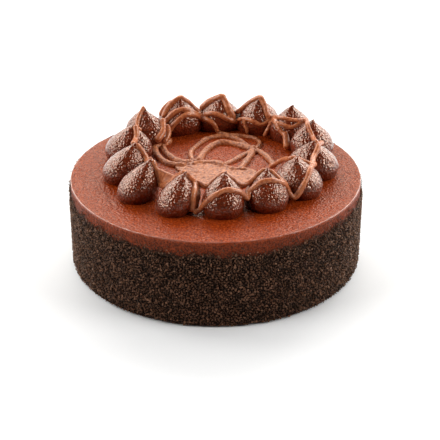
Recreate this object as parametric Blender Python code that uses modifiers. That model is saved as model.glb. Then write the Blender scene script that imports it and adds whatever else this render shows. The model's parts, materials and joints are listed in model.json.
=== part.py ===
"""A round chocolate torte: an iced cake with a coat of crumbs round its side, a ring of fourteen
piped ganache kisses on its top, and milk-chocolate drizzle over the kisses and the middle.

Metres, +Z up. The origin is the centre of the flat base, and the front is towards -Y.
"""

import math

import bpy
import bmesh
from mathutils import Vector, noise

MM = 0.001
CLEARANCE = 0.3 * MM
WELD = 2e-6

# linear colour and roughness of each material
CREAM = ((0.33, 0.13, 0.08), 0.6)
CRUMBS = ((0.03, 0.018, 0.012), 0.85)
GANACHE = ((0.10, 0.025, 0.015), 0.35)
CREASE_ANGLE = 50

# The iced cake
CAKE_RADIUS = 100 * MM
CAKE_HEIGHT = 61.5 * MM
TOP_EDGE_ROUND = 1.8 * MM
BASE_EDGE_ROUND = 1.2 * MM
EDGE_STEPS = 3
CAKE_STEPS = 58

# The coat of crumbs, a craggy skin round the side with a ragged upper edge
COAT_STEPS = 98
COAT_ROWS = 8
COAT_THICKNESS = 1.3 * MM
COAT_BUMP = 1.3 * MM
COAT_FOOT = 1.0 * MM
COAT_TOP = 53.5 * MM
COAT_TOP_RISE_BEHIND = 3.0 * MM
COAT_TOP_RAGGED = 2.6 * MM
COAT_LIP = 0.6 * MM
CRAG_SIZE = 6.0 * MM
RAG_SIZE = 9.0 * MM

# The ring of kisses stands a little behind the cake's centre
RING_CENTRE = Vector((3 * MM, 11 * MM, 0))
RING_INNER_REACH = 46.3 * MM
RING_OUTER_REACH = 125 * MM
RING_HEADROOM = 45 * MM
SECTOR_ARC_STEPS = 4
KISS_STEPS = 14
# height up the kiss, and its radius there as a share of the belly's
KISS_PROFILE = (
    (1.00, 0.00),
    (0.985, 0.05),
    (0.94, 0.10),
    (0.88, 0.21),
    (0.79, 0.40),
    (0.67, 0.63),
    (0.53, 0.84),
    (0.38, 0.96),
    (0.26, 1.00),
    (0.14, 0.97),
    (0.05, 0.92),
    (0.00, 0.87),
)
KISS_EGG = 0.15
KISS_LEAN_POWER = 1.5
KISS_CORE = 0.30
# bearing from the ring's centre in degrees, then in millimetres the distance from that centre,
# width, length along the bearing, height, and how far the tip leans in and to the left
KISSES = (
    (-88.5, 68.5, 27.5, 29.0, 26.0, 6.0, 1.0),
    (-63.0, 67.0, 27.5, 29.0, 25.0, 4.5, 1.5),
    (-37.0, 66.0, 28.0, 33.0, 25.5, 3.5, 0.0),
    (-11.0, 65.0, 27.0, 36.0, 25.5, 1.0, -0.5),
    (18.0, 69.0, 28.5, 31.0, 26.0, 0.5, 1.5),
    (44.0, 72.0, 28.5, 31.0, 26.5, 1.0, -1.0),
    (67.0, 72.0, 30.0, 30.0, 26.0, 2.0, -1.0),
    (91.0, 72.0, 31.5, 30.0, 25.0, 4.5, -1.5),
    (115.0, 72.0, 31.0, 31.0, 26.0, 2.0, 0.0),
    (140.0, 69.0, 28.0, 33.0, 25.0, -3.5, 0.5),
    (168.0, 66.5, 25.5, 34.0, 26.0, 3.5, -1.0),
    (196.5, 68.5, 25.0, 31.0, 26.0, 7.5, 0.5),
    (221.0, 73.0, 23.5, 29.0, 26.0, 10.0, 2.0),
    (246.0, 72.5, 23.5, 28.0, 26.0, 6.5, 4.5),
)

# The drizzle
STRAND_STEP = 5.5 * MM
STRAND_LIFT = 0.25
GROUND_LIFT = 0.35
PUDDLE_THICKNESS = 2.2 * MM
PUDDLE_SINK = 0.3 * MM
# a strand this many kiss heights from a kiss's core, or nearer, is joined to it where they meet
STRAND_NEAR = 1.5


def on(kiss, turn, share):
    """A place on a kiss: degrees about it from its outer side, and a share of its height."""
    return ("on", kiss, turn, share)


def at(bearing, reach, height):
    """A place in the ring: bearing and distance from its centre, and height over the icing, mm."""
    return ("at", bearing, reach, height)


def flat(x, y):
    """A place on the icing, in millimetres from the cake's centre."""
    return ("flat", x, y)


# width in millimetres, then the way that each strand takes
KISS_STRANDS = (
    # along the front, hanging in the gaps, with a hooked end
    (3.8, (at(-103, 77, 2), on(1, -72, 0.15), on(1, -40, 0.52), on(1, 0, 0.70), on(1, 45, 0.64),
           on(1, 80, 0.48), at(-76, 74, 9), on(2, -95, 0.45), on(2, -60, 0.74), on(2, 0, 0.78),
           on(2, 50, 0.65), on(2, 80, 0.42), at(-51, 76, 3), on(3, -60, 0.20), on(3, -48, 0.43),
           on(3, -20, 0.63), on(3, 15, 0.72), at(-24, 70, 15))),
    # from the fourteenth tip down into the first gap, and a fold hanging beside it
    (3.6, (on(14, 90, 0.95), on(14, 115, 0.78), at(-106, 58, 15), on(1, -105, 0.58))),
    (4.8, (at(-107, 60, 15), on(14, 80, 0.48), on(14, 84, 0.25), at(-104, 76, 2))),
    (4.8, (at(-105, 60, 14), at(-103, 66, 9), at(-103, 73, 3))),
    # over the inner shoulders of the first and second kisses
    (3.4, (on(1, -105, 0.56), on(1, -130, 0.82), on(1, 180, 0.92), on(1, 130, 0.84),
           on(1, 105, 0.62), on(2, -115, 0.56), on(2, -125, 0.80), on(2, 180, 0.94))),
    (3.4, (on(2, 100, 0.90), on(2, 60, 0.76), on(2, 72, 0.55), on(3, -88, 0.36))),
    # up the inner side of the third, round its tip and down to the hook
    (3.6, (at(-20, 36.5, 5), at(-23, 47, 14), on(3, -160, 0.86), on(3, 150, 0.90),
           on(3, 90, 0.74), on(3, 50, 0.66), at(-24, 70, 15))),
    (3.8, (on(5, -81, 0.50), on(4, -27, 0.88), on(4, -80, 0.71), on(3, 60, 0.64))),
    # over the fifth and sixth, from the knot between the sixth and seventh
    (3.4, (at(56, 70, 13), on(6, -178, 0.69), on(6, -135, 0.67), on(6, -64, 0.59),
           on(5, -156, 0.88), on(5, -112, 0.72), on(5, -104, 0.60), on(4, -10, 0.93))),
    (3.2, (at(56, 70, 13), on(6, -155, 0.57), on(6, -138, 0.46), on(6, -116, 0.54),
           on(6, -76, 0.57))),
    (3.4, (at(56, 70, 13), on(6, 165, 0.54), on(6, -165, 0.40), on(6, -140, 0.20),
           at(30, 55, 2))),
    (5.0, (at(38.5, 60, 10.5), at(33, 57, 6), at(28, 54.5, 1.5))),
    # over the seventh
    (3.2, (on(7, -130, 0.50), on(7, -105, 0.55), at(56, 70, 13))),
    (3.2, (at(55.5, 57, 1.5), at(53, 58, 8), at(54.5, 69, 13))),
    (4.2, (on(8, -115, 0.50), on(7, 98, 0.58), on(7, 90, 0.86), on(7, 0, 1.0), on(7, -100, 0.86),
           on(7, -121, 0.64), on(7, -121, 0.50))),
    (3.2, (on(8, -125, 0.28), on(7, 144, 0.43), on(7, 178, 0.48), at(58.5, 58.5, 8.5),
           at(56, 65, 11.5), at(56, 70, 13))),
    (3.0, (on(7, 154, 0.42), on(7, 171, 0.28), at(69, 57, 1))),
    # over the eighth
    (5.2, (on(8, 88, 0.52), on(8, 78, 0.72), on(8, 40, 0.94), on(8, -110, 0.90),
           on(8, -138, 0.70), on(8, -135, 0.40))),
    (3.8, (on(9, -114, 0.30), on(8, 116, 0.44), on(8, 150, 0.61), on(8, -176, 0.56),
           on(8, -130, 0.26))),
    (3.6, (on(8, 108, 0.27), on(8, 140, 0.43), on(8, 168, 0.36), on(8, 178, 0.10), at(92, 57, 1))),
    # over the ninth
    (4.4, (on(9, 99, 0.46), on(9, 82, 0.73), on(9, 60, 0.95), on(9, -80, 0.92), on(9, -95, 0.64),
           on(8, 108, 0.36))),
    (4.0, (on(9, 80, 0.46), on(9, 55, 0.66), on(9, 30, 0.82))),
    (4.2, (on(9, 110, 0.34), on(9, 120, 0.61), on(9, 150, 0.74), on(9, -155, 0.72),
           on(9, -120, 0.42))),
    (4.2, (on(9, 135, 0.18), on(9, 142, 0.43), on(9, 170, 0.62), on(9, -145, 0.57),
           on(9, -114, 0.30))),
    # hanging between the ninth and tenth
    (5.0, (at(132.5, 61, 17), at(139, 58.5, 11), at(146, 56, 6))),
    (4.6, (at(130, 60, 12), at(136, 57, 7), at(141, 54, 2))),
    # down the tenth, and from tip to tip to the thirteenth
    (3.4, (on(10, -60, 0.97), on(10, 90, 0.93), on(10, 90, 0.75), on(10, 100, 0.52),
           on(11, -150, 0.80))),
    (3.8, (on(11, 180, 0.96), on(11, 140, 0.82), on(11, 116, 0.62), on(12, -60, 0.95))),
    (4.2, (on(12, 180, 0.95), on(12, 165, 0.70), on(12, 150, 0.46), on(13, -150, 0.92))),
    # the web between the thirteenth and fourteenth
    (4.2, (on(13, 170, 0.92), on(13, 128, 0.66), on(13, 130, 0.34))),
    (4.4, (on(13, 130, 0.36), on(14, -110, 0.42), on(14, -130, 0.72), on(14, -150, 0.94))),
)

GROUND_STRANDS = (
    # from between the ninth and tenth towards the puddle
    (5.4, (flat(-46, 45), flat(-41, 48), flat(-36, 53))),
    (4.6, (flat(-44, 46), flat(-43.5, 34), flat(-41.5, 26), flat(-38, 18.5), flat(-33, 12.5),
           flat(-27, 10), flat(-20, 9))),
    (4.6, (flat(-39, 47), flat(-37, 35), flat(-34, 27.5), flat(-29.5, 20), flat(-24, 15),
           flat(-16, 13))),
    # the outer loop, the inner loop, and the short strand between them and the eighth kiss
    (3.6, (flat(-15, 14), flat(-17.5, 24), flat(-18.5, 31.5), flat(-17, 37), flat(-13, 46),
           flat(-7, 57), flat(0, 61), flat(8, 60.5), flat(15, 58), flat(20, 48.5), flat(27, 37.5))),
    (4.8, (flat(-12, 15), flat(-10.5, 25), flat(-8, 34), flat(-4, 43), flat(3, 50),
           flat(10.5, 48.5), flat(17, 44.5), flat(22, 40), flat(27, 37))),
    (3.2, (flat(1, 70), flat(4, 66), flat(12, 63), flat(22, 61), flat(29, 58), flat(32, 51),
           flat(32, 44.5), flat(28, 38))),
    # the knot, and the three strands that leave it
    (7.0, (flat(25.5, 35.5), flat(28.5, 38.5))),
    (4.2, (flat(27, 37), flat(31, 34.5), flat(35, 27.5), flat(38.5, 18.5), flat(40.6, 9.5))),
    (3.8, (flat(27, 36), flat(22, 31.5), flat(16.5, 24), flat(11.5, 17), flat(5, 11))),
    (4.6, (flat(27, 36), flat(25, 27.5), flat(21.5, 17), flat(18, 8), flat(16.5, 0))),
    # over the puddle
    (3.8, (flat(-20, 9), flat(-12, 13), flat(-3, 14), flat(5, 9), flat(12, 2), flat(22, 1))),
)
# the broad puddle's outline on the icing, in millimetres
PUDDLE = (
    (-28, 9), (-22, 15.5), (-15, 18), (-4, 19), (2.5, 18.5), (6, 15), (8.5, 9.5), (12.5, 6),
    (20, 6.5), (27.5, 2), (28, -8), (25, -18), (17, -24), (8, -24), (0, -25), (-8, -24),
    (-14, -15), (-19, -5), (-26, 2),
)
PUDDLE_CURVE_STEPS = 2


def clear_scene():
    for item in list(bpy.data.objects):
        bpy.data.objects.remove(item)


def new_collection(name):
    collection = bpy.data.collections.new(name)
    bpy.context.scene.collection.children.link(collection)
    return collection


def material(name, finish):
    colour, roughness = finish
    mat = bpy.data.materials.new(name)
    mat.use_nodes = True
    shader = mat.node_tree.nodes["Principled BSDF"]
    shader.inputs["Base Color"].default_value = (*colour, 1.0)
    shader.inputs["Roughness"].default_value = roughness
    shader.inputs["Metallic"].default_value = 0.0
    return mat


def add_object(name, data, collection):
    item = bpy.data.objects.new(name, data)
    collection.objects.link(item)
    return item


def add_part(name, mesh, collection, mat):
    item = add_object(name, mesh, collection)
    item.data.materials.clear()
    item.data.materials.append(mat)
    item.data.shade_smooth()
    item.data.set_sharp_from_angle(angle=math.radians(CREASE_ANGLE))
    return item


def evaluated_mesh(item):
    """The object's mesh with its modifiers applied and welded, once the object is removed."""
    bpy.context.view_layer.update()
    graph = bpy.context.evaluated_depsgraph_get()
    mesh = bpy.data.meshes.new_from_object(item.evaluated_get(graph))
    bpy.data.objects.remove(item)
    work = bmesh.new()
    work.from_mesh(mesh)
    bmesh.ops.remove_doubles(work, verts=work.verts, dist=WELD)
    work.to_mesh(mesh)
    work.free()
    return mesh


def turned_mesh(profile, steps, collection):
    """A profile of (radius, height) points, turned about the Z axis."""
    mesh = bpy.data.meshes.new("profile")
    points = [(radius, 0.0, height) for radius, height in profile]
    edges = [(i, i + 1) for i in range(len(points) - 1)]
    mesh.from_pydata(points, edges, [])
    item = add_object("profile", mesh, collection)
    screw = item.modifiers.new("turn", "SCREW")
    screw.steps = steps
    screw.render_steps = steps
    screw.use_merge_vertices = True
    screw.merge_threshold = 1e-5
    return evaluated_mesh(item)


def rounded_corner(radius, height, size, start, end):
    """Points of a quarter round about (radius, height), from one angle to the other in degrees."""
    points = []
    for step in range(EDGE_STEPS + 1):
        angle = math.radians(start + (end - start) * step / EDGE_STEPS)
        points.append((radius + size * math.cos(angle), height + size * math.sin(angle)))
    return points


def iced_cake_mesh(collection):
    top = TOP_EDGE_ROUND
    base = BASE_EDGE_ROUND
    profile = [(0.0, CAKE_HEIGHT)]
    profile += rounded_corner(CAKE_RADIUS - top, CAKE_HEIGHT - top, top, 90, 0)
    profile += rounded_corner(CAKE_RADIUS - base, base, base, 0, -90)
    profile += [(0.0, 0.0)]
    return turned_mesh(profile, CAKE_STEPS, collection)


def coat_top(angle):
    """Height of the crumbs' upper edge: ragged, and a little higher behind than in front."""
    around = Vector((math.cos(angle), math.sin(angle), 0)) * CAKE_RADIUS
    behind = 0.5 - 0.5 * math.cos(angle + math.pi / 2)
    ragged = noise.noise(around / RAG_SIZE) * COAT_TOP_RAGGED
    return COAT_TOP + behind * COAT_TOP_RISE_BEHIND + ragged


def crumb_coat_mesh(collection):
    inner = CAKE_RADIUS + CLEARANCE
    outer = inner + COAT_THICKNESS
    profile = [(outer, row / COAT_ROWS) for row in range(COAT_ROWS, -1, -1)]
    profile += [(inner, 0.0), (inner, 1.0), (outer, 1.0)]
    mesh = turned_mesh(profile, COAT_STEPS, collection)
    for vertex in mesh.vertices:
        angle = math.atan2(vertex.co.y, vertex.co.x)
        share = vertex.co.z
        height = COAT_FOOT + share * (coat_top(angle) - COAT_FOOT)
        radius = Vector((vertex.co.x, vertex.co.y)).length
        if radius > inner + COAT_LIP:
            place = Vector((math.cos(angle) * outer, math.sin(angle) * outer, height))
            radius += noise.noise(place / CRAG_SIZE) * COAT_BUMP
            if share > 0.999:
                height -= COAT_LIP
        vertex.co = Vector((math.cos(angle) * radius, math.sin(angle) * radius, height))
    return mesh


class Kiss:
    """One piped kiss: a fat foot drawn up and in to a peaked tip."""

    def __init__(self, bearing, reach, width, length, height, lean_in, lean_side):
        turn = math.radians(bearing)
        self.bearing = bearing
        self.out = Vector((math.cos(turn), math.sin(turn), 0))
        self.side = Vector((-math.sin(turn), math.cos(turn), 0))
        self.foot = RING_CENTRE + self.out * reach * MM
        self.foot.z = CAKE_HEIGHT
        self.half_width = width * MM / 2
        self.half_length = length * MM / 2
        self.height = height * MM
        self.lean = self.side * lean_side * MM - self.out * lean_in * MM

    def axis(self, share):
        return self.foot + self.lean * share**KISS_LEAN_POWER + Vector((0, 0, share * self.height))

    def point(self, turn, share, radius):
        """A point at a turn in radians about the kiss, a share of its height and of its belly."""
        along = math.cos(turn)
        across = math.sin(turn) * (1 + KISS_EGG * along)
        spread = self.out * self.half_length * along + self.side * self.half_width * across
        return self.axis(share) + spread * radius

    def over(self, turn, share, lift):
        """A point that far over the kiss's skin."""
        skin = self.point(math.radians(turn), share, profile_radius(share))
        outward = (skin - self.axis(KISS_CORE)).normalized()
        return skin + outward * lift


def profile_radius(share):
    """The kiss's radius at a share of its height, as a share of its belly."""
    for (high, narrow), (low, wide) in zip(KISS_PROFILE, KISS_PROFILE[1:]):
        if low <= share <= high:
            return wide + (narrow - wide) * (share - low) / (high - low)
    return 0.0


def kiss_mesh(kiss, collection):
    profile = [(radius, share) for share, radius in KISS_PROFILE] + [(0.0, 0.0)]
    mesh = turned_mesh(profile, KISS_STEPS, collection)
    for vertex in mesh.vertices:
        turn = math.atan2(vertex.co.y, vertex.co.x)
        radius = Vector((vertex.co.x, vertex.co.y)).length
        vertex.co = kiss.point(turn, vertex.co.z, radius)
    return mesh


def place_of(stop, kisses, radius):
    """The point in space of a stop on a strand's way."""
    if stop[0] == "on":
        return kisses[stop[1] - 1].over(stop[2], stop[3], radius * STRAND_LIFT)
    if stop[0] == "at":
        turn = math.radians(stop[1])
        reach = stop[2] * MM
        height = CAKE_HEIGHT + stop[3] * MM
        return RING_CENTRE + Vector((math.cos(turn) * reach, math.sin(turn) * reach, height))
    return Vector((stop[1] * MM, stop[2] * MM, CAKE_HEIGHT + radius * GROUND_LIFT))


def strand_route(stops, kisses, radius):
    """Points along a strand, which follows a kiss's skin between two stops on that kiss."""
    route = [place_of(stops[0], kisses, radius)]
    for here, there in zip(stops, stops[1:]):
        start = place_of(here, kisses, radius)
        end = place_of(there, kisses, radius)
        steps = max(1, round((end - start).length / STRAND_STEP))
        same_kiss = here[0] == "on" and there[0] == "on" and here[1] == there[1]
        for step in range(1, steps + 1):
            share = step / steps
            if same_kiss:
                turn = here[2] + ((there[2] - here[2] + 180) % 360 - 180) * share
                height = here[3] + (there[3] - here[3]) * share
                route.append(place_of(on(here[1], turn, height), kisses, radius))
            else:
                route.append(start.lerp(end, share))
    return smoothed(route)


def smoothed(route):
    middle = [
        before * 0.2 + here * 0.6 + after * 0.2
        for before, here, after in zip(route, route[1:], route[2:])
    ]
    return [route[0], *middle, route[-1]]


def tube_mesh(route, radius, collection):
    curve = bpy.data.curves.new("strand", "CURVE")
    curve.dimensions = "3D"
    curve.bevel_depth = radius
    curve.bevel_resolution = 1
    curve.use_fill_caps = True
    spline = curve.splines.new("POLY")
    spline.points.add(len(route) - 1)
    for point, place in zip(spline.points, route):
        point.co = (*place, 1.0)
    return evaluated_mesh(add_object("strand", curve, collection))


def prism_mesh(outline, low, high, collection):
    """A straight-sided block over a closed outline of points on the ground."""
    curve = bpy.data.curves.new("outline", "CURVE")
    curve.dimensions = "2D"
    curve.fill_mode = "BOTH"
    curve.extrude = (high - low) / 2
    spline = curve.splines.new("POLY")
    spline.use_cyclic_u = True
    spline.points.add(len(outline) - 1)
    for point, (x, y) in zip(spline.points, outline):
        point.co = (x, y, 0.0, 1.0)
    mesh = evaluated_mesh(add_object("outline", curve, collection))
    for vertex in mesh.vertices:
        vertex.co.z += (high + low) / 2
    return mesh


def rounded_outline(corners, steps):
    """A closed Catmull-Rom curve through the corners."""
    points = []
    count = len(corners)
    for index in range(count):
        a, b, c, d = (Vector(corners[(index + shift) % count]) for shift in (-1, 0, 1, 2))
        for step in range(steps):
            t = step / steps
            blend = b * 2 + (c - a) * t + (a * 2 - b * 5 + c * 4 - d) * t**2
            points.append((blend + (b * 3 - a - c * 3 + d) * t**3) / 2)
    return points


def make_cutter(item):
    item.hide_render = True
    item.display_type = "WIRE"
    return item


def united(base, others, cutters):
    """One Boolean union of a mesh with a collection of others."""
    item = add_object("base", base, cutters)
    group = new_collection("joined")
    for mesh in others:
        make_cutter(add_object("joined", mesh, group))
    union = item.modifiers.new("union", "BOOLEAN")
    union.operation = "UNION"
    union.solver = "EXACT"
    union.operand_type = "COLLECTION"
    union.collection = group
    mesh = evaluated_mesh(item)
    for other in list(group.objects):
        bpy.data.objects.remove(other)
    bpy.data.collections.remove(group)
    return mesh


def within(base, block, cutters):
    """What of a mesh lies inside a block. The exact solver loses some of the kisses here."""
    item = add_object("base", base, cutters)
    cutter = make_cutter(add_object("block", block, cutters))
    cut = item.modifiers.new("cut", "BOOLEAN")
    cut.operation = "INTERSECT"
    cut.solver = "MANIFOLD"
    cut.object = cutter
    mesh = evaluated_mesh(item)
    bpy.data.objects.remove(cutter)
    return mesh


def volume_of(faces):
    return sum(face.calc_area() * face.normal.dot(face.calc_center_median()) for face in faces) / 3


def largest_body(mesh):
    """Keeps the largest closed body, so that scraps and sealed hollows are dropped."""
    work = bmesh.new()
    work.from_mesh(mesh)
    bmesh.ops.dissolve_degenerate(work, edges=work.edges, dist=WELD)
    bmesh.ops.triangulate(work, faces=work.faces)
    left = set(work.faces)
    bodies = []
    while left:
        body = set()
        found = [left.pop()]
        while found:
            face = found.pop()
            body.add(face)
            for edge in face.edges:
                found += [other for other in edge.link_faces if other in left]
                left.difference_update(edge.link_faces)
        bodies.append(body)
    keep = max(bodies, key=volume_of)
    scraps = [face for face in work.faces if face not in keep]
    bmesh.ops.delete(work, geom=scraps, context="FACES")
    work.to_mesh(mesh)
    work.free()
    return mesh


def on_ring(bearing, reach):
    turn = math.radians(bearing)
    return (RING_CENTRE.x + math.cos(turn) * reach, RING_CENTRE.y + math.sin(turn) * reach)


def kiss_sector(index, kisses, collection):
    """The block that a kiss keeps to, half-way to each neighbour and clear of the icing."""
    here = kisses[index].bearing
    before = (here - kisses[index - 1].bearing) % 360
    after = (kisses[(index + 1) % len(kisses)].bearing - here) % 360
    start = here - before / 2
    end = here + after / 2
    # each side is moved in by half the clearance
    shift = math.degrees(CLEARANCE / 2 / RING_INNER_REACH)
    first = end - shift
    last = start + shift
    inner = [
        on_ring(first + (last - first) * step / SECTOR_ARC_STEPS, RING_INNER_REACH)
        for step in range(SECTOR_ARC_STEPS + 1)
    ]
    slip = math.degrees(CLEARANCE / 2 / RING_OUTER_REACH)
    outer = [on_ring(start + slip, RING_OUTER_REACH), on_ring(end - slip, RING_OUTER_REACH)]
    low = CAKE_HEIGHT + CLEARANCE
    return prism_mesh(inner + outer, low, low + RING_HEADROOM, collection)


def strand(row, kisses):
    """A strand's points and its radius."""
    width, stops = row
    radius = width * MM / 2
    return strand_route(stops, kisses, radius), radius


def is_near(route, kiss):
    reach = kiss.height * STRAND_NEAR
    return any((place - kiss.axis(KISS_CORE)).length < reach for place in route)


def main():
    clear_scene()
    parts = new_collection("chocolate_torte")
    cutters = new_collection("cutters")
    cream = material("chocolate_cream", CREAM)
    crumbs = material("dark_crumbs", CRUMBS)
    ganache = material("dark_ganache", GANACHE)
    kisses = [Kiss(*row) for row in KISSES]
    ground = [strand(row, kisses) for row in GROUND_STRANDS]
    routes = [strand(row, kisses) for row in KISS_STRANDS] + ground

    # the puddle and the loops in the middle are one with the icing
    low = CAKE_HEIGHT - PUDDLE_SINK
    outline = [point * MM for point in rounded_outline(PUDDLE, PUDDLE_CURVE_STEPS)]
    puddle = prism_mesh(outline, low, low + PUDDLE_THICKNESS, cutters)
    loops = [tube_mesh(route, radius, cutters) for route, radius in ground]
    middle = united(puddle, loops, cutters)
    reach = RING_INNER_REACH - CLEARANCE
    edge = [on_ring(360 * step / CAKE_STEPS, reach) for step in range(CAKE_STEPS)]
    inside = prism_mesh(edge, low - RING_HEADROOM / 2, low + RING_HEADROOM / 2, cutters)
    middle = within(middle, inside, cutters)
    cake = largest_body(united(iced_cake_mesh(cutters), [middle], cutters))
    add_part("iced_cake", cake, parts, cream)

    add_part("crumb_coat", crumb_coat_mesh(cutters), parts, crumbs)

    for index, kiss in enumerate(kisses):
        strands = [
            tube_mesh(route, radius, cutters)
            for route, radius in routes
            if is_near(route, kiss)
        ]
        whole = united(kiss_mesh(kiss, cutters), strands, cutters)
        own = within(whole, kiss_sector(index, kisses, cutters), cutters)
        add_part(f"kiss_{index + 1:02d}", largest_body(own), parts, ganache)
    bpy.data.collections.remove(cutters)


main()
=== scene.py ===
"""A round chocolate torte with a crumbed side, a ring of piped ganache kisses and
milk-chocolate drizzle, on a pale floor in soft studio light.

Metres, +Z up. The front of the cake is towards -Y.
"""

import json
import math

import bmesh
import bpy
import numpy as np
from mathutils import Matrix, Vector, noise

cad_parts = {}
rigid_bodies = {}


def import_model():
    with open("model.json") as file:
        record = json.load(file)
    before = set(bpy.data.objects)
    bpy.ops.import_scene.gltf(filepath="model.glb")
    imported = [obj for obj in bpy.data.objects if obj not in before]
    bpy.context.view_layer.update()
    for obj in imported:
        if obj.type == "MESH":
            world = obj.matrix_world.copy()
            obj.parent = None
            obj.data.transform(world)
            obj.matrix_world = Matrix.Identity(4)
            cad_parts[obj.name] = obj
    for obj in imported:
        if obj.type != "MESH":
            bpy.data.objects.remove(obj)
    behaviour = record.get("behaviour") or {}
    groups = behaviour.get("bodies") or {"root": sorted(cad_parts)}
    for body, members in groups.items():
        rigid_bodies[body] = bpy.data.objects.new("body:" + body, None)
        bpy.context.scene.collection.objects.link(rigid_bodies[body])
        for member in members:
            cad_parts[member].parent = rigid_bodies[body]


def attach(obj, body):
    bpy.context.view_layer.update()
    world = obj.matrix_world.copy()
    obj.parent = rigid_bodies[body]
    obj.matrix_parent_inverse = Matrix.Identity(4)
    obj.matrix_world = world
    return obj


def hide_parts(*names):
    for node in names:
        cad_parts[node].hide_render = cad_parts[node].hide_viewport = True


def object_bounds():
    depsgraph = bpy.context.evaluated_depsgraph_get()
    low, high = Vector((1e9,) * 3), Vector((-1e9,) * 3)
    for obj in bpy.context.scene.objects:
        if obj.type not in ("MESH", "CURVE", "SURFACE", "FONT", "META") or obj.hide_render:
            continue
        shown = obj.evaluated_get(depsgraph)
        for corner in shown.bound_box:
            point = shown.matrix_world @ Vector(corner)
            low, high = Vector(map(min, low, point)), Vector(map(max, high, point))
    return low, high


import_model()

CAD_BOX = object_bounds()

MM = 0.001
# points closer than these are one, and a height under the last counts as none
WELD = 2e-6
SCREW_WELD = 1e-6
SKIN_WELD = 1e-7
LEVEL = 1e-6

# The iced cake
CAKE_RADIUS = 100 * MM
CAKE_HEIGHT = 61.5 * MM
TOP_EDGE_ROUND = 0.8 * MM
BASE_EDGE_ROUND = 1.2 * MM
CAKE_STEPS = 400
CAKE_RING_STEP = 1.5 * MM
TOP_EDGE_STEPS = 6
BASE_EDGE_STEPS = 3
# each relief is (size of its swells, depth in all)
CAKE_RELIEF = ((9 * MM, 0.25 * MM), (2.2 * MM, 0.12 * MM))
VELVET = 1.4 * MM
VELVET_DEPTH = 0.5 * MM
RIM_BEAD = 0.42 * MM
RIM_BEAD_STEPS = 10
RIM_BEAD_INSET = 0.05 * MM
RIM_BEAD_PROUD = 0.15 * MM
RIM_BEAD_RELIEF = ((8 * MM, 0.7 * MM), (1.3 * MM, 0.35 * MM))
# how far under the rim the crumb dust and painted shade on the side start, and over what height
# they grow
DUST_AND_SHADE_START = 0.5 * MM
DUST_AND_SHADE_FADE = 1.2 * MM
# how far over the crumbs' edge specks start, and over what height they close up
SPECK_RISE = 3.0 * MM
SPECK_DEPTH = 8.5 * MM

# The coat of crumbs
COAT_FOOT = 1.0 * MM
COAT_TOP = 53.5 * MM
COAT_TOP_RISE_BEHIND = 3.0 * MM
COAT_TOP_RAGGED = 2.6 * MM
RAG_SIZE = 9.0 * MM
COAT_REACH = 101.8 * MM
# the skin of dust under the crumbs, and how far its upper edge drops under theirs
BED_STEPS = 620
BED_ROWS = 52
BED_SINK = 0.3 * MM
BED_PROUD = 0.5 * MM
BED_DROP = 3.8 * MM
BED_RAGGED = 2.2 * MM
BED_RAG_SIZE = 3.0 * MM
BED_FEATHER = 0.1 * MM
BED_RELIEF = ((1.6 * MM, 0.5 * MM),)
# the surface that crumbs stick to: the side, and rings on the top
BELT_STEPS = 420
BELT_ROWS = 60
BELT_PROUD = 0.12 * MM
BELT_FOOT_GAP = 0.3 * MM
BELT_TOP_GAP = 0.6 * MM
TOP_PROUD = 0.15 * MM
TOP_RING = 2 * MM
TOP_RINGS = 7
# the share of the side that crumbs cover at their edge, what it loses with each millimetre up,
# and how much it swings from patch to patch
EDGE_COVER = 0.7
COVER_FALL = 0.1
COVER_SWING = 0.6
CRUMB_PATCH = 3.0 * MM
CLUMP_SIZE = 2.6 * MM
CLUMP_RISE = 0.9 * MM
CLUMP_SHARE = 0.45
CLUMP_SWING = 1.8
STRAY_REACH = 6.0 * MM
LOWEST_CRUMB = 0.1 * MM
HIGHEST_CRUMB = CAKE_HEIGHT + 0.9 * MM
# crumb shapes, each stretched three ways and with its corners moved, by shares between these
CRUMB_SHAPES = 7
CRUMB_SHAPE_SEED = 3
CRUMB_STRETCH = (0.5, 1.5)
CRUMB_JITTER = (0.62, 1.2)
# name, millimetres from one to the next, most for each square metre, smallest and largest in
# millimetres, least and most rise in millimetres, palest tone, seed, cover of strays on the top,
# and how sharply they thin out at their edge
CRUMB_KINDS = (
    ("crumbs_coarse", 1.6, 1.3e6, 1.1, 1.7, 0.0, 0.5, 1.0, 11, 0.0, 4.0),
    ("crumbs_middling", 1.62, 1.4e6, 0.85, 1.2, 0.1, 0.8, 1.0, 12, 0.0, 3.2),
    ("crumbs_fine", 1.6, 1.5e6, 0.55, 0.95, 0.1, 0.8, 0.6, 13, 0.02, 1.3),
)

# The ring of kisses
RING_CENTRE = Vector((3 * MM, 11 * MM, 0))
KISS_STEPS = 128
KISS_ROWS = 84
# height up the kiss, and its radius there as a share of the belly's
KISS_PROFILE = (
    (1.00, 0.00),
    (0.985, 0.04),
    (0.95, 0.08),
    (0.91, 0.14),
    (0.87, 0.23),
    (0.79, 0.40),
    (0.67, 0.63),
    (0.53, 0.84),
    (0.38, 0.96),
    (0.26, 1.00),
    (0.14, 0.97),
    (0.05, 0.92),
    (0.00, 0.87),
)
# the outer side is wider and the inner side narrower by this share
KISS_EGG = 0.15
# on the ring's inner side the foot spreads until it meets the next kiss
KISS_SPREAD = 0.6
KISS_SPREAD_HEIGHT = 0.6
KISS_LEAN_POWER = 1.5
# the share of the height that the skin is pushed out from
KISS_CORE = 0.30
KISS_SINK = 0.3 * MM
KISS_RELIEF = ((7 * MM, 0.5 * MM), (1.5 * MM, 0.16 * MM))
# the tip's last part bends over to the right
HOOK_START = 0.84
HOOK_REACH = 1.5 * MM
PEBBLE = 1.45 * MM
PEBBLE_DEPTH = 0.6 * MM
# shares of the height between which the skin turns glossy
GLOSS_START = 0.04
GLOSS_END = 0.28
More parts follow.
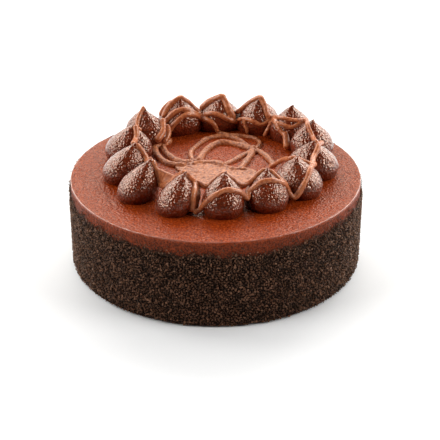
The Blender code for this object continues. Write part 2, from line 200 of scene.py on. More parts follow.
# bearing from the ring's centre in degrees, then in millimetres the distance from that centre,
# width, length along the bearing, height, and how far the tip leans in and to the left
KISSES = (
    (-88.5, 68.5, 27.5, 29.0, 26.0, 6.0, 1.0),
    (-63.0, 67.0, 27.5, 29.0, 25.0, 4.5, 1.5),
    (-37.0, 66.0, 28.0, 33.0, 25.5, 3.5, 0.0),
    (-11.0, 65.0, 27.0, 36.0, 25.5, 1.0, -0.5),
    (18.0, 69.0, 28.5, 31.0, 26.0, 0.5, 1.5),
    (44.0, 72.0, 28.5, 31.0, 26.5, 1.0, -1.0),
    (67.0, 72.0, 30.0, 30.0, 26.0, 2.0, -1.0),
    (91.0, 72.0, 31.5, 30.0, 25.0, 4.5, -1.5),
    (115.0, 72.0, 31.0, 31.0, 26.0, 2.0, 0.0),
    (140.0, 69.0, 28.0, 33.0, 25.0, -3.5, 0.5),
    (168.0, 66.5, 25.5, 34.0, 26.0, 3.5, -1.0),
    (196.5, 68.5, 25.0, 31.0, 26.0, 7.5, 0.5),
    (221.0, 73.0, 23.5, 29.0, 26.0, 10.0, 2.0),
    (246.0, 72.5, 23.5, 28.0, 26.0, 6.5, 4.5),
)
KISS_NODES = [f"kiss_{number:02d}" for number in range(1, len(KISSES) + 1)]

# The drizzle
STRAND_STEP = 0.8 * MM
# how far a strand's middle lies over a kiss or the icing, as a share of its radius
STRAND_LIFT = 0.25
GROUND_LIFT = 0.35
STRAND_EASE = 4
STRAND_SMOOTH = 8
STRAND_END = 0.25
STRAND_SWELL = 0.22
STRAND_SWELL_SIZE = 7 * MM
SKIN_EASE = 5
SKIN_RELIEF_SIZE = 2.4 * MM
MIDDLE_VOXEL = 0.42 * MM
MIDDLE_RELIEF = 0.4 * MM
RING_VOXEL = 0.45 * MM
RING_RELIEF = 0.16 * MM
RING_SHOULDER = 1.2 * MM
OUTLINE_STEPS = 8
PUDDLE_THICKNESS = 1.5 * MM
PUDDLE_SINK = 0.3 * MM
PUDDLE_DOME = 0.9 * MM
PUDDLE_SHOULDER = 2.5 * MM
PUDDLE_WAVE = 4 * MM
WEB_THICKNESS = 1.3 * MM
WEB_START = 0.28
WEB_ROWS = 24
WEB_COLUMNS = 16

# Camera and light: sensor and lens in millimetres, tilt in degrees, the rest in metres
SENSOR = 36
LENS = 97.09
CAMERA_TILT = 29.35
CAMERA_DISTANCE = 0.850
AIM = (0.00293, 0, 0.0246)
LIGHT_AIM = (0, 0, 0.05)
LAMP_COLOUR = "fff8ee"
# name, place, size, and how many times brighter than white paper
SOFTBOXES = (
    ("left_key", (-1.75, -0.5, 1.2), (1.0, 0.9), 10.5),
    ("right_key", (1.75, -0.4, 1.2), (1.0, 0.9), 10.5),
    ("left_panel", (-1.5, 1.1, 0.9), (1.8, 1.2), 4.2),
    ("right_panel", (1.5, 1.1, 0.9), (1.8, 1.2), 5.4),
    ("top_left_softbox", (-1.07, 0.63, 1.8), (0.7, 0.7), 5.0),
    ("back_softbox", (0.1, 2.0, 1.45), (2.6, 1.2), 5.5),
)
ROOM_COLOUR = "fff0dc"
ROOM_STRENGTH = 0.02
WALL_STRENGTH = 0.6
FLOOR_RADIUS = 4.0


def on(kiss, turn, share):
    """A place on a kiss: degrees about it from its outer side, and a share of its height."""
    return ("on", kiss, turn, share)


def at(bearing, reach, height):
    """A place in the ring: bearing and distance from its centre, and height over the icing, mm."""
    return ("at", bearing, reach, height)


def flat(x, y):
    """A place on the icing, in millimetres from the cake's centre."""
    return ("flat", x, y)


# width in millimetres, then the way that each strand takes
KISS_STRANDS = (
    # along the front, hanging in the gaps, with a hooked end
    (3.8, (at(-103, 77, 2), on(1, -72, 0.15), on(1, -40, 0.52), on(1, 0, 0.70), on(1, 45, 0.64),
           on(1, 80, 0.48), at(-76, 74, 9), on(2, -95, 0.45), on(2, -60, 0.74), on(2, 0, 0.78),
           on(2, 50, 0.65), on(2, 80, 0.42), at(-51, 76, 3), on(3, -60, 0.20), on(3, -48, 0.43),
           on(3, -20, 0.63), on(3, 15, 0.72), at(-24, 70, 15))),
    # from the fourteenth tip down into the first gap, and a fold hanging beside it
    (3.6, (on(14, 90, 0.95), on(14, 115, 0.78), at(-106, 58, 15), on(1, -105, 0.58))),
    (4.8, (at(-107, 60, 15), on(14, 80, 0.48), on(14, 84, 0.25), at(-104, 76, 2))),
    (4.8, (at(-105, 60, 14), at(-103, 66, 9), at(-103, 73, 3))),
    # over the inner shoulders of the first and second kisses
    (3.4, (on(1, -105, 0.56), on(1, -130, 0.82), on(1, 180, 0.92), on(1, 130, 0.84),
           on(1, 105, 0.62), on(2, -115, 0.56), on(2, -125, 0.80), on(2, 180, 0.94))),
    (3.4, (on(2, 100, 0.90), on(2, 60, 0.76), on(2, 72, 0.55), on(3, -88, 0.36))),
    # up the inner side of the third, round its tip and down to the hook
    (3.6, (at(-20, 36.5, 5), at(-23, 47, 14), on(3, -160, 0.86), on(3, 150, 0.90),
           on(3, 90, 0.74), on(3, 50, 0.66), at(-24, 70, 15))),
    (3.8, (on(5, -81, 0.50), on(4, -27, 0.88), on(4, -80, 0.71), on(3, 60, 0.64))),
    # over the fifth and sixth, from the knot between the sixth and seventh
    (3.4, (at(56, 70, 13), on(6, -178, 0.69), on(6, -135, 0.67), on(6, -64, 0.59),
           on(5, -156, 0.88), on(5, -112, 0.72), on(5, -104, 0.60), on(4, -10, 0.93))),
    (3.2, (at(56, 70, 13), on(6, -155, 0.57), on(6, -138, 0.46), on(6, -116, 0.54),
           on(6, -76, 0.57))),
    (3.4, (at(56, 70, 13), on(6, 165, 0.54), on(6, -165, 0.40), on(6, -140, 0.20),
           at(30, 55, 2))),
    (5.0, (at(38.5, 60, 10.5), at(33, 57, 6), at(28, 54.5, 1.5))),
    # over the seventh, and down between it and the sixth
    (3.2, (on(7, -130, 0.50), on(7, -105, 0.55), at(56, 70, 13))),
    (3.2, (at(55.5, 57, 1.5), at(53, 58, 8), at(54.5, 69, 13))),
    (4.2, (on(8, -115, 0.50), on(7, 98, 0.58), on(7, 90, 0.86), on(7, 0, 1.0), on(7, -100, 0.86),
           on(7, -121, 0.64), on(7, -121, 0.50))),
    (3.2, (on(8, -125, 0.28), on(7, 144, 0.43), on(7, 178, 0.48), at(58.5, 58.5, 8.5),
           at(56, 65, 11.5), at(56, 70, 13))),
    (3.0, (on(7, 154, 0.42), on(7, 171, 0.28), at(69, 57, 1))),
    # over the eighth
    (5.2, (on(8, 88, 0.52), on(8, 78, 0.72), on(8, 40, 0.94), on(8, -110, 0.90),
           on(8, -138, 0.70), on(8, -135, 0.40))),
    (3.8, (on(9, -114, 0.30), on(8, 116, 0.44), on(8, 150, 0.61), on(8, -176, 0.56),
           on(8, -130, 0.26))),
    (3.6, (on(8, 108, 0.27), on(8, 140, 0.43), on(8, 168, 0.36), on(8, 178, 0.10), at(92, 57, 1))),
    # over the ninth
    (4.4, (on(9, 99, 0.46), on(9, 82, 0.73), on(9, 60, 0.95), on(9, -80, 0.92), on(9, -95, 0.64),
           on(8, 108, 0.36))),
    (4.0, (on(9, 80, 0.46), on(9, 55, 0.66), on(9, 30, 0.82))),
    (4.2, (on(9, 110, 0.34), on(9, 120, 0.61), on(9, 150, 0.74), on(9, -155, 0.72),
           on(9, -120, 0.42))),
    (4.2, (on(9, 135, 0.18), on(9, 142, 0.43), on(9, 170, 0.62), on(9, -145, 0.57),
           on(9, -114, 0.30))),
    # hanging between the ninth and tenth
    (5.0, (at(132.5, 61, 17), at(139, 58.5, 11), at(146, 56, 6))),
    (4.6, (at(130, 60, 12), at(136, 57, 7), at(141, 54, 2))),
    # down the tenth, and from tip to tip to the thirteenth
    (3.4, (on(10, -60, 0.97), on(10, 90, 0.93), on(10, 90, 0.75), on(10, 100, 0.52),
           on(11, -150, 0.80))),
    (3.8, (on(11, 180, 0.96), on(11, 140, 0.82), on(11, 116, 0.62), on(12, -60, 0.95))),
    (4.2, (on(12, 180, 0.95), on(12, 165, 0.70), on(12, 150, 0.46), on(13, -150, 0.92))),
    # the web between the thirteenth and fourteenth
    (4.2, (on(13, 170, 0.92), on(13, 128, 0.66), on(13, 130, 0.34))),
    (4.4, (on(13, 130, 0.36), on(14, -110, 0.42), on(14, -130, 0.72), on(14, -150, 0.94))),
)

GROUND_STRANDS = (
    # from between the ninth and tenth towards the puddle
    (5.4, (flat(-46, 45), flat(-41, 48), flat(-36, 53))),
    (4.6, (flat(-44, 46), flat(-43.5, 34), flat(-41.5, 26), flat(-38, 18.5), flat(-33, 12.5),
           flat(-27, 10), flat(-20, 9))),
    (4.6, (flat(-39, 47), flat(-37, 35), flat(-34, 27.5), flat(-29.5, 20), flat(-24, 15),
           flat(-16, 13))),
    # the outer loop, the inner loop, and the short strand between them and the eighth kiss
    (3.6, (flat(-15, 14), flat(-17.5, 24), flat(-18.5, 31.5), flat(-17, 37), flat(-13, 46),
           flat(-7, 57), flat(0, 61), flat(8, 60.5), flat(15, 58), flat(20, 48.5), flat(27, 37.5))),
    (4.8, (flat(-12, 15), flat(-10.5, 25), flat(-8, 34), flat(-4, 43), flat(3, 50),
           flat(10.5, 48.5), flat(17, 44.5), flat(22, 40), flat(27, 37))),
    (3.2, (flat(1, 70), flat(4, 66), flat(12, 63), flat(22, 61), flat(29, 58), flat(32, 51),
           flat(32, 44.5), flat(28, 38))),
    # the knot, and the three strands that leave it
    (7.0, (flat(25.5, 35.5), flat(28.5, 38.5))),
    (4.2, (flat(27, 37), flat(31, 34.5), flat(35, 27.5), flat(38.5, 18.5), flat(40.6, 9.5))),
    (3.8, (flat(27, 36), flat(22, 31.5), flat(16.5, 24), flat(11.5, 17), flat(5, 11))),
    (4.6, (flat(27, 36), flat(25, 27.5), flat(21.5, 17), flat(18, 8), flat(16.5, 0))),
    # over the puddle
    (3.8, (flat(-20, 9), flat(-12, 13), flat(-3, 14), flat(5, 9), flat(12, 2), flat(22, 1))),
)
# the broad puddle's outline on the icing, in millimetres
PUDDLE = (
    (-28, 9), (-22, 15.5), (-15, 18), (-4, 19), (2.5, 18.5), (6, 15), (8.5, 9.5), (12.5, 6),
    (20, 6.5), (27.5, 2), (28, -8), (25, -18), (17, -24), (8, -24), (0, -25), (-8, -24),
    (-14, -15), (-19, -5), (-26, 2),
)


# Materials

def linear(code):
    """An sRGB hex colour as linear values."""
    parts = [int(code[place:place + 2], 16) / 255 for place in (0, 2, 4)]
    parts = [part / 12.92 if part <= 0.04045 else ((part + 0.055) / 1.055) ** 2.4 for part in parts]
    return (*parts, 1.0)


def add_node(tree, kind, inputs=(), stops=(), **settings):
    """Adds a node with its settings; an input is given as (name, value or socket), and a stop of
    a colour ramp as (place, sRGB hex)."""
    node = tree.nodes.new(kind)
    for name, value in settings.items():
        setattr(node, name, value)
    for name, value in inputs:
        if isinstance(value, bpy.types.NodeSocket):
            tree.links.new(value, node.inputs[name])
        else:
            node.inputs[name].default_value = value
    for number, (place, code) in enumerate(stops):
        elements = node.color_ramp.elements
        element = elements[number] if number < len(elements) else elements.new(place)
        element.position = place
        element.color = linear(code)
    return node


def new_material(name, roughness, ior):
    """A material, its tree and shader, and the Object coordinates that its patterns lie on."""
    material = bpy.data.materials.new(name)
    material.use_nodes = True
    tree = material.node_tree
    shader = tree.nodes["Principled BSDF"]
    shader.inputs["Roughness"].default_value = roughness
    shader.inputs["IOR"].default_value = ior
    place = add_node(tree, "ShaderNodeTexCoord").outputs["Object"]
    return material, tree, shader, place


def pebbled(tree, place, size, depth):
    """Normals of rounded pebbles of about this size and depth."""
    cells = add_node(
        tree, "ShaderNodeTexVoronoi",
        [("Vector", place), ("Scale", 1 / size), ("Smoothness", 0.6)], feature="SMOOTH_F1",
    )
    bump = add_node(
        tree, "ShaderNodeBump",
        [("Height", cells.outputs["Distance"]), ("Distance", depth), ("Strength", 1.0)],
        invert=True,
    )
    return bump.outputs["Normal"]


def grained(tree, place, size, depth, strength=1.0, detail=2.0, roughness=0.5, under=None):
    """Normals of an uneven grain of about this size and depth, over other normals if given."""
    swells = add_node(
        tree, "ShaderNodeTexNoise",
        [("Vector", place), ("Scale", 1 / size), ("Detail", detail), ("Roughness", roughness)],
    )
    inputs = [("Height", swells.outputs["Fac"]), ("Distance", depth), ("Strength", strength)]
    if under is not None:
        inputs.append(("Normal", under))
    return add_node(tree, "ShaderNodeBump", inputs).outputs["Normal"]


def mottled(tree, place, size, stops, detail=3.0, roughness=0.6):
    """Colours that run into each other in patches of about this size."""
    patches = add_node(
        tree, "ShaderNodeTexNoise",
        [("Vector", place), ("Scale", 1 / size), ("Detail", detail), ("Roughness", roughness)],
    )
    colours = add_node(tree, "ShaderNodeValToRGB", [("Fac", patches.outputs["Fac"])], stops=stops)
    return colours.outputs["Color"]


def cream_material():
    # Chocolate cream icing sprayed with cocoa butter: velvety, matte straight on and paler where
    # it is seen at a slant. The velvet is drawn coarser than in life, so that it shows.
    mottle_size = 1.2 * MM
    speck_size = 1.1 * MM
    nap_size = 2.1 * MM
    nap_depth = 1.0 * MM
    bare_roughness = 0.27
    dusty_roughness = 0.6
    material, tree, shader, place = new_material("velvet_chocolate_cream", bare_roughness, 1.3)
    shader.inputs["Specular Tint"].default_value = linear("ffe6c8")
    bare_colours = ((0.34, "6e280a"), (0.5, "842d09"), (0.66, "a44719"))
    # darker than the bare cream: crumb dust, and painted shade where the side turns away from the
    # light
    dusty_shaded_colours = ((0.38, "43180b"), (0.6, "7f3217"))
    bare = mottled(tree, place, mottle_size, bare_colours, 2.0)
    dusty_shaded = mottled(tree, place, mottle_size, dusty_shaded_colours, 2.0)
    dust_and_shade = add_node(tree, "ShaderNodeAttribute", attribute_name="dust_and_shade").outputs["Fac"]
    icing = add_node(tree, "ShaderNodeMix", [(0, dust_and_shade), (6, bare), (7, dusty_shaded)], data_type="RGBA")
    # crumb specks that close up towards the crumbs' edge
    flecks = add_node(
        tree, "ShaderNodeTexNoise",
        [("Vector", place), ("Scale", 1 / speck_size), ("Detail", 3.0), ("Roughness", 0.6)],
    )
    speck = add_node(tree, "ShaderNodeAttribute", attribute_name="speck").outputs["Fac"]
    crowd = add_node(
        tree, "ShaderNodeMath", [(0, speck), (1, 0.5), (2, flecks.outputs["Fac"])],
        operation="MULTIPLY_ADD",
    )
    specked = add_node(
        tree, "ShaderNodeMapRange",
        [("Value", crowd.outputs[0]), ("From Min", 0.72), ("From Max", 0.77)],
    )
    colour = add_node(
        tree, "ShaderNodeMix",
        [(0, specked.outputs["Result"]), (6, icing.outputs[2]), (7, linear("24140d"))],
        data_type="RGBA",
    )
    tree.links.new(colour.outputs[2], shader.inputs["Base Color"])
    satin = add_node(
        tree, "ShaderNodeMapRange",
        [("Value", dust_and_shade), ("To Min", bare_roughness), ("To Max", dusty_roughness)],
    )
    tree.links.new(satin.outputs["Result"], shader.inputs["Roughness"])
    velvet = pebbled(tree, place, VELVET, VELVET_DEPTH)
    nap = grained(tree, place, nap_size, nap_depth, 0.7, 3.0, 0.6, velvet)
    tree.links.new(nap, shader.inputs["Normal"])
    return material


def rim_material():
    # The same cream where the scraper smoothed the edge: glossier, so that it draws a pale line.
    ripple_size = 1.5 * MM
    ripple_depth = 0.3 * MM
    material, tree, shader, place = new_material("smoothed_chocolate_cream", 0.2, 1.75)
    shader.inputs["Base Color"].default_value = linear("83381a")
    ripples = grained(tree, place, ripple_size, ripple_depth, 0.6)
    tree.links.new(ripples, shader.inputs["Normal"])
    return material


def ganache_material():
    # Whipped ganache, piped and set: dark and satin, with a pebbled skin that breaks every
    # highlight into points. The pebbles are drawn a little coarser than in life.
    tint_size = 2.0 * MM
    wrinkle_size = 1.8 * MM
    wrinkle_depth = 0.3 * MM
    material, tree, shader, place = new_material("dark_ganache", 0.3, 1.62)
    shader.inputs["Specular Tint"].default_value = linear("ffbe98")
    colour = mottled(tree, place, tint_size, ((0.3, "3a1208"), (0.7, "7c2f16")))
    tree.links.new(colour, shader.inputs["Base Color"])
    # the fat at the surface is glossier than the body; dust from the icing dulls the foot
    gloss = add_node(tree, "ShaderNodeAttribute", attribute_name="gloss").outputs["Fac"]
    coat = add_node(tree, "ShaderNodeMapRange", [("Value", gloss), ("To Max", 0.7)])
    tree.links.new(coat.outputs["Result"], shader.inputs["Coat Weight"])
    shader.inputs["Coat Roughness"].default_value = 0.1
    shader.inputs["Coat IOR"].default_value = 1.62
    pebbles = pebbled(tree, place, PEBBLE, PEBBLE_DEPTH)
    tree.links.new(pebbles, shader.inputs["Coat Normal"])
    wrinkles = grained(tree, place, wrinkle_size, wrinkle_depth, under=pebbles)
    tree.links.new(wrinkles, shader.inputs["Normal"])
    return material


def drizzle_material(name, colours, grit_depth, roughness):
    # Milk chocolate run from a bag and set: satin and warm, with a little grit in its skin.
    tint_size = 1.8 * MM
    grit_size = 1.5 * MM
    material, tree, shader, place = new_material(name, roughness, 1.5)
    colour = mottled(tree, place, tint_size, colours)
    tree.links.new(colour, shader.inputs["Base Color"])
    grit = grained(tree, place, grit_size, grit_depth)
    tree.links.new(grit, shader.inputs["Normal"])
    return material


def crumb_material():
    # Dark cookie crumbs: nearly black, some of them browner, each with its own tone, and with
    # enough fat that their flat faces glint.
    pit_size = 0.4 * MM
    pit_depth = 0.1 * MM
    material, tree, shader, place = new_material("dark_cookie_crumb", 0.42, 1.45)
    shader.inputs["Specular Tint"].default_value = linear("ffe0c6")
    tone = add_node(tree, "ShaderNodeAttribute", attribute_name="tone").outputs["Fac"]
    colour = add_node(
        tree, "ShaderNodeValToRGB", [("Fac", tone)],
        stops=((0.0, "1c100a"), (0.35, "42291b"), (0.8, "5e3e2d"), (1.0, "805c48")),
    )
    tree.links.new(colour.outputs["Color"], shader.inputs["Base Color"])
    pits = grained(tree, place, pit_size, pit_depth, 0.8)
    tree.links.new(pits, shader.inputs["Normal"])
    return material


def crumb_bed_material():
    # Crumbs ground to dust and pressed into the cream under the coarse ones: matte, with no glint,
    # and their own dark brown deepened to near black as painted shade for the gaps between the
    # crumbs.
    # The dust is drawn coarser than in life, so that it shows.
    speck_size = 0.7 * MM
    speck_depth = 0.5 * MM
    material, tree, shader, place = new_material("crumb_dust_in_painted_shade", 0.95, 1.2)
    # nearly black: painted shade in the gaps between crumbs, over the dust's own dark brown
    colours = ((0.44, "060403"), (0.54, "1c110c"), (0.68, "40291e"))
    colour = mottled(tree, place, speck_size, colours, 4.0, 0.7)
    tree.links.new(colour, shader.inputs["Base Color"])
    specks = grained(tree, place, speck_size, speck_depth, 1.0, 4.0, 0.7)
    tree.links.new(specks, shader.inputs["Normal"])
    return material


def floor_material():
    # Smooth white paper sweep.
    material, _, shader, _ = new_material("white_paper", 0.6, 1.5)
    shader.inputs["Base Color"].default_value = linear("e9f0fa")
    return material


# Mesh tools

def add_object(name, data):
    item = bpy.data.objects.new(name, data)
    bpy.context.scene.collection.objects.link(item)
    return item


def evaluated_mesh(item):
    """The object's mesh with its modifiers applied; the object itself is removed."""
    bpy.context.view_layer.update()
    graph = bpy.context.evaluated_depsgraph_get()
    mesh = bpy.data.meshes.new_from_object(item.evaluated_get(graph))
    bpy.data.objects.remove(item)
    return mesh


def finished_piece(name, mesh, material, nodes, smooth=True):
    """A finished piece that stands for these nodes and takes its finish from this slot."""
    piece = add_object(name, mesh)
    mesh.materials.clear()
    mesh.materials.append(material)
    mesh.polygons.foreach_set("use_smooth", [smooth] * len(mesh.polygons))
    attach(piece, "root")
    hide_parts(*nodes)
    return piece


def turned_mesh(profile, steps):
    """A profile of (radius, height) points, turned about the Z axis and closed."""
    mesh = bpy.data.meshes.new("profile")
    points = [(radius, 0.0, height) for radius, height in profile]
    mesh.from_pydata(points, [(i, i + 1) for i in range(len(points) - 1)], [])
    item = add_object("profile", mesh)
    screw = item.modifiers.new("turn", "SCREW")
    screw.steps = steps
    screw.render_steps = steps
    screw.use_merge_vertices = True
    screw.merge_threshold = SCREW_WELD
    mesh = evaluated_mesh(item)
    work = bmesh.new()
    work.from_mesh(mesh)
    bmesh.ops.remove_doubles(work, verts=work.verts, dist=WELD)
    bmesh.ops.recalc_face_normals(work, faces=work.faces)
    work.to_mesh(mesh)
    work.free()
    return mesh


def places_of(mesh):
    places = np.empty(len(mesh.vertices) * 3)
    mesh.vertices.foreach_get("co", places)
    return places.reshape(-1, 3)


def move_to(mesh, places):
    mesh.vertices.foreach_set("co", places.ravel())
    mesh.update()


def store(mesh, name, values):
    """Keeps a value at each point, for a material or a tree to read."""
    mesh.attributes.new(name, "FLOAT", "POINT").data.foreach_set("value", values)


def relieved_mesh(item, layers):
    """The object's mesh, moved in and out by cloud patterns of (size, depth in all)."""
    for size, depth in layers:
        texture = bpy.data.textures.new("relief", "CLOUDS")
        texture.noise_scale = size
        displace = item.modifiers.new("relief", "DISPLACE")
        displace.texture = texture
        displace.texture_coords = "LOCAL"
        displace.strength = depth
        displace.mid_level = 0.5
    return evaluated_mesh(item)


def rounded_corner(radius, height, size, start, end, steps):
    """Points of an arc of this size about (radius, height), between two angles in degrees."""
    angles = [math.radians(start + (end - start) * step / steps) for step in range(steps + 1)]
    return [(radius + size * math.cos(a), height + size * math.sin(a)) for a in angles]


# The iced cake

def iced_cake_mesh():
    top = TOP_EDGE_ROUND
    base = BASE_EDGE_ROUND
    rings = round((CAKE_RADIUS - top) / CAKE_RING_STEP)
    profile = [((CAKE_RADIUS - top) * ring / rings, CAKE_HEIGHT) for ring in range(rings)]
    profile += rounded_corner(CAKE_RADIUS - top, CAKE_HEIGHT - top, top, 90, 0, TOP_EDGE_STEPS)
    rows = round((CAKE_HEIGHT - top - base) / CAKE_RING_STEP)
    profile += [
        (CAKE_RADIUS, CAKE_HEIGHT - top - (CAKE_HEIGHT - top - base) * row / rows)
        for row in range(1, rows)
    ]
    profile += rounded_corner(CAKE_RADIUS - base, base, base, 0, -90, BASE_EDGE_STEPS)
    profile += [(0.0, 0.0)]
    mesh = relieved_mesh(add_object("cake", turned_mesh(profile, CAKE_STEPS)), CAKE_RELIEF)
    places = places_of(mesh)
    # the relief doesn't reach below the ground
    places[:, 2] = np.maximum(places[:, 2], 0.0)
    move_to(mesh, places)
    # crumb dust and painted shade lie on the side only, from a little under the rim
    below = (CAKE_HEIGHT - DUST_AND_SHADE_START - places[:, 2]) / DUST_AND_SHADE_FADE
    on_side = np.hypot(places[:, 0], places[:, 1]) > CAKE_RADIUS - TOP_EDGE_ROUND
    store(mesh, "dust_and_shade", np.where(on_side, np.clip(below, 0, 1), 0.0))
    tops = np.array([coat_top(angle) for angle in np.arctan2(places[:, 1], places[:, 0])])
    near = (tops + SPECK_RISE - places[:, 2]) / SPECK_DEPTH
    store(mesh, "speck", np.where(on_side, np.clip(near, 0, 1), 0.0))
    return mesh


def rim_bead_mesh():
    """The thin smooth bead that the scraper left along the top edge."""
    centre = CAKE_RADIUS - RIM_BEAD - RIM_BEAD_INSET
    height = CAKE_HEIGHT - RIM_BEAD + RIM_BEAD_PROUD
    section = rounded_corner(centre, height, RIM_BEAD, 0, 360, RIM_BEAD_STEPS)
    bead = turned_mesh(section[:-1] + section[:1], CAKE_STEPS)
    return relieved_mesh(add_object("bead", bead), RIM_BEAD_RELIEF)


# The crumb coat

def coat_top(angle):
    """Height of the crumbs' upper edge: ragged, and a little higher behind than in front."""
    around = Vector((math.cos(angle), math.sin(angle), 0)) * CAKE_RADIUS
    behind = 0.5 - 0.5 * math.cos(angle + math.pi / 2)
    ragged = noise.noise(around / RAG_SIZE) * COAT_TOP_RAGGED
    return COAT_TOP + behind * COAT_TOP_RISE_BEHIND + ragged


def crumb_bed_mesh():
    """The ground crumbs under the coarse ones: a thin closed skin with a feathered upper edge,
    whose near-black colour is painted shade between the crumbs.
    """
    inner = CAKE_RADIUS - BED_SINK
    outer = CAKE_RADIUS + BED_PROUD
    # a height here is a share of the way from the foot to the upper edge
    profile = [(outer, row / BED_ROWS) for row in range(BED_ROWS, -1, -1)]
    profile += [(inner, 0.0), (inner, 1.0), profile[0]]
    mesh = turned_mesh(profile, BED_STEPS)
    places = places_of(mesh)
    angles = np.arctan2(places[:, 1], places[:, 0])
    # all points of one column share an upper edge
    tops = {}
    for index, angle in enumerate(angles):
        key = round(angle, 5)
        if key not in tops:
            around = Vector((math.cos(angle), math.sin(angle), 1)) * CAKE_RADIUS
            fringe = noise.noise(around / BED_RAG_SIZE) * BED_RAGGED
            tops[key] = coat_top(angle) - BED_DROP + fringe
        share = places[index, 2]
        height = COAT_FOOT + share * (tops[key] - COAT_FOOT)
        radius = math.hypot(places[index, 0], places[index, 1])
        if share > 1 - WELD and radius > CAKE_RADIUS:
            radius = CAKE_RADIUS - BED_FEATHER
        places[index] = (math.cos(angle) * radius, math.sin(angle) * radius, height)
    move_to(mesh, places)
    return relieved_mesh(add_object("bed", mesh), BED_RELIEF)


def crumb_shapes():
    """Rough little crumb bodies, one millimetre across, in a collection of their own."""
    shapes = bpy.data.collections.new("crumb_shapes")
    bpy.context.scene.collection.children.link(shapes)
    chance = np.random.default_rng(CRUMB_SHAPE_SEED)
    for number in range(CRUMB_SHAPES):
        mesh = bpy.data.meshes.new("crumb")
        work = bmesh.new()
        bmesh.ops.create_icosphere(work, subdivisions=1, radius=0.5 * MM)
        stretch = chance.uniform(*CRUMB_STRETCH, 3)
        for vertex in work.verts:
            vertex.co = Vector(np.array(vertex.co) * stretch * chance.uniform(*CRUMB_JITTER))
        work.to_mesh(mesh)
        work.free()
        shapes.objects.link(bpy.data.objects.new(f"crumb_shape_{number}", mesh))
    return shapes


def crumb_belt(stray_cover, fade):
    """The side and the rim that crumbs stick to, with how thickly they cover each place."""
    reach = CAKE_RADIUS + BELT_PROUD
    high = CAKE_HEIGHT - BELT_TOP_GAP
    low = COAT_FOOT + BELT_FOOT_GAP
    top = CAKE_HEIGHT + TOP_PROUD
    profile = [(reach, low + (high - low) * row / BELT_ROWS) for row in range(BELT_ROWS + 1)]
    profile += [(CAKE_RADIUS - ring * TOP_RING, top) for ring in range(1, TOP_RINGS + 1)]
    mesh = turned_mesh(profile, BELT_STEPS)
    values = []
    places = places_of(mesh)
    for place in places:
        over = (place[2] - coat_top(math.atan2(place[1], place[0]))) / MM
        patch = noise.noise(Vector(place) / CRUMB_PATCH)
        inward = CAKE_RADIUS - math.hypot(place[0], place[1])
        if inward > 0:
            # a few stray crumbs on top, fewer further in
            values.append(stray_cover * math.exp(-inward / STRAY_REACH) * (1 + patch))
        else:
            # full below the ragged edge, thinning out over the bare cream
            share = EDGE_COVER - over * COVER_FALL + patch * COVER_SWING
            values.append(max(0.0, min(1.0, share)) ** fade)
            # the crumbs lie in clumps with hollows between them
            clump = CLUMP_SHARE + noise.noise(Vector(place) / CLUMP_SIZE) * CLUMP_SWING
            place[:2] *= 1 + max(0.0, min(1.0, clump)) * CLUMP_RISE / reach
    store(mesh, "cover", values)
    move_to(mesh, places)
    return mesh


def crumb_tree():
    """Scatters shapes over a mesh by its cover attribute and gives each crumb a tone."""
    tree = bpy.data.node_groups.new("crumb_scatter", "GeometryNodeTree")
    kinds = {"Belt": "Geometry", "Shapes": "Collection", "Seed": "Int", "Material": "Material"}
    sizes = ("Spacing", "Density", "Smallest", "Largest", "Least Rise", "Most Rise", "Palest")
    for port in ("Belt", "Shapes", *sizes, "Seed", "Material"):
        kind = "NodeSocket" + kinds.get(port, "Float")
        tree.interface.new_socket(port, in_out="INPUT", socket_type=kind)
    tree.interface.new_socket("Crumbs", in_out="OUTPUT", socket_type="NodeSocketGeometry")
    given = add_node(tree, "NodeGroupInput").outputs
    cover = add_node(tree, "GeometryNodeInputNamedAttribute", [("Name", "cover")])
    points = add_node(
        tree, "GeometryNodeDistributePointsOnFaces",
        [("Mesh", given["Belt"]), ("Distance Min", given["Spacing"]),
         ("Density Max", given["Density"]), ("Density Factor", cover.outputs["Attribute"]),
         ("Seed", given["Seed"])],
        distribute_method="POISSON",
    )
    rise = add_node(
        tree, "FunctionNodeRandomValue",
        [(2, given["Least Rise"]), (3, given["Most Rise"]), ("Seed", given["Seed"])],
    )
    outward = add_node(
        tree, "ShaderNodeVectorMath", [(0, points.outputs["Normal"]), ("Scale", rise.outputs[1])],
        operation="SCALE",
    )
    raised = add_node(
        tree, "GeometryNodeSetPosition",
        [("Geometry", points.outputs["Points"]), ("Offset", outward.outputs["Vector"])],
    )
    shapes = add_node(
        tree, "GeometryNodeCollectionInfo",
        [("Collection", given["Shapes"]), ("Separate Children", True)],
    )
    turn = add_node(
        tree, "FunctionNodeRandomValue", [(1, (math.tau,) * 3), ("Seed", given["Seed"])],
        data_type="FLOAT_VECTOR",
    )
    size = add_node(
        tree, "FunctionNodeRandomValue",
        [(2, given["Smallest"]), (3, given["Largest"]), ("Seed", given["Seed"])],
    )
    crumbs = add_node(
        tree, "GeometryNodeInstanceOnPoints",
        [("Points", raised.outputs["Geometry"]), ("Instance", shapes.outputs["Instances"]),
         ("Pick Instance", True), ("Rotation", turn.outputs[0]), ("Scale", size.outputs[1])],
    )
    tone = add_node(
        tree, "FunctionNodeRandomValue", [(3, given["Palest"]), ("Seed", given["Seed"])]
    )
    toned = add_node(
        tree, "GeometryNodeStoreNamedAttribute",
        [("Geometry", crumbs.outputs["Instances"]), ("Name", "tone"), ("Value", tone.outputs[1])],
        data_type="FLOAT", domain="INSTANCE",
    )
    real = add_node(
        tree, "GeometryNodeRealizeInstances", [("Geometry", toned.outputs["Geometry"])]
    )
    coated = add_node(
        tree, "GeometryNodeSetMaterial",
        [("Geometry", real.outputs["Geometry"]), ("Material", given["Material"])],
    )
    add_node(tree, "NodeGroupOutput", [("Crumbs", coated.outputs["Geometry"])])
    return tree


